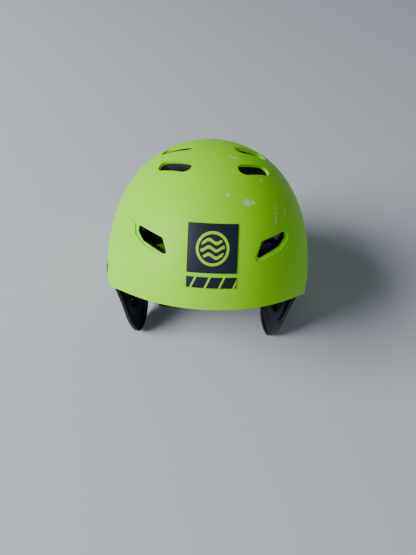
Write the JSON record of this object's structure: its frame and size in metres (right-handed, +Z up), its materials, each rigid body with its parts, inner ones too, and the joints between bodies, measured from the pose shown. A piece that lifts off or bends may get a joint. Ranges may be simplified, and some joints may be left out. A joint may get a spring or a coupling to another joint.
{
  "type": "water sports helmet",
  "caption": "Half-dome water sports helmet with vented hard shell, foam liner, hanging ear guards, chin loop with side-release buckle and a nape dial that draws in the fit bands.",
  "frame": {"origin": "on the floor under the middle of the helmet, which stands tipped back on its two ear guards and the back of its rim", "axes": "-Y the way the brow faces, +X the wearer's left, +Z up from the floor"},
  "size_m": [0.227, 0.2444, 0.2286],
  "materials": {
    "shell_lime": "satin moulded ABS in fluorescent lime with a fine grain and scuffs",
    "badge_navy": "matt printed navy film",
    "liner_foam": "closed-cell EVA foam, charcoal",
    "comfort_fabric": "brushed polyester over foam, charcoal",
    "guard_black": "semi-gloss moulded black plastic",
    "ring_foam": "closed-cell foam ring, dark navy",
    "rivet_steel": "stainless steel with turning marks",
    "fitting_black": "fine-grained acetal, black",
    "band_nylon": "natural grain nylon, dark grey",
    "dial_rubber": "ribbed soft-touch rubber",
    "strap_webbing": "woven polyester webbing, black"
  },
  "bodies": {
    "helmet": {"outer_shell": "shell_lime", "front_badge": "badge_navy", "front_stripe": "badge_navy", "foam_liner": "liner_foam", "brow_pad": "comfort_fabric", "crown_pad": "comfort_fabric", "left_side_pad": "comfort_fabric", "right_side_pad": "comfort_fabric", "left_ear_guard": "guard_black", "right_ear_guard": "guard_black", "left_ear_ring": "ring_foam", "right_ear_ring": "ring_foam", "anchor_rivets": "rivet_steel", "anchor_washers": "rivet_steel", "cradle_screws": "rivet_steel", "cradle_housing": "fitting_black", "cradle_pad": "comfort_fabric", "left_strap_divider": "fitting_black", "right_strap_divider": "fitting_black", "left_front_yoke": "strap_webbing", "right_front_yoke": "strap_webbing", "left_rear_yoke": "strap_webbing", "right_rear_yoke": "strap_webbing"},
    "chin_loop": {"right_chin_webbing": "strap_webbing", "left_chin_webbing": "strap_webbing", "buckle_socket": "fitting_black", "strap_glide": "fitting_black", "chin_pad": "comfort_fabric"},
    "tongue": {"buckle_tongue": "fitting_black", "tongue_webbing": "strap_webbing"},
    "front_prong_body": {"front_prong": "fitting_black"},
    "rear_prong_body": {"rear_prong": "fitting_black"},
    "dial": {"dial_knob": "dial_rubber", "dial_pinion": "band_nylon"},
    "left_band": {"left_fit_band": "band_nylon"},
    "right_band": {"right_fit_band": "band_nylon"}
  },
  "joints": [
    {"name": "chin_swing", "type": "hinge", "parent": "helmet", "child": "chin_loop", "pos_m": [0, -0.00351, 0.03], "axis": [1, 0, 0], "range_deg": [-80, 25]},
    {"name": "buckle_release", "type": "slide", "parent": "chin_loop", "child": "tongue", "axis": [1, 0, 0], "range_m": [0, 0.015]},
    {"name": "front_prong_squeeze", "type": "hinge", "parent": "tongue", "child": "front_prong_body", "pos_m": [0.0124, -0.01151, 0.0038], "axis": [0, 0, -1], "range_deg": [0, 13.6]},
    {"name": "rear_prong_squeeze", "type": "hinge", "parent": "tongue", "child": "rear_prong_body", "pos_m": [0.0124, 0.00449, 0.0038], "axis": [0, 0, 1], "range_deg": [0, 13.6]},
    {"name": "dial_turn", "type": "hinge", "parent": "helmet", "child": "dial", "pos_m": [0, 0.08624, 0.031], "axis": [0, -0.809, 0.5878], "range_deg": [0, 71.6]},
    {"name": "left_band_slide", "type": "slide", "parent": "helmet", "child": "left_band", "axis": [-1, 0, 0], "range_m": [0, 0.005]},
    {"name": "right_band_slide", "type": "slide", "parent": "helmet", "child": "right_band", "axis": [1, 0, 0], "range_m": [0, 0.005]}
  ],
  "couplings": [
    {"joint": "front_prong_squeeze", "follows": "buckle_release", "rad_per_m": 15.708},
    {"joint": "rear_prong_squeeze", "follows": "buckle_release", "rad_per_m": 15.708},
    {"joint": "left_band_slide", "follows": "dial_turn", "m_per_rad": 0.004},
    {"joint": "right_band_slide", "follows": "dial_turn", "m_per_rad": 0.004}
  ]
}
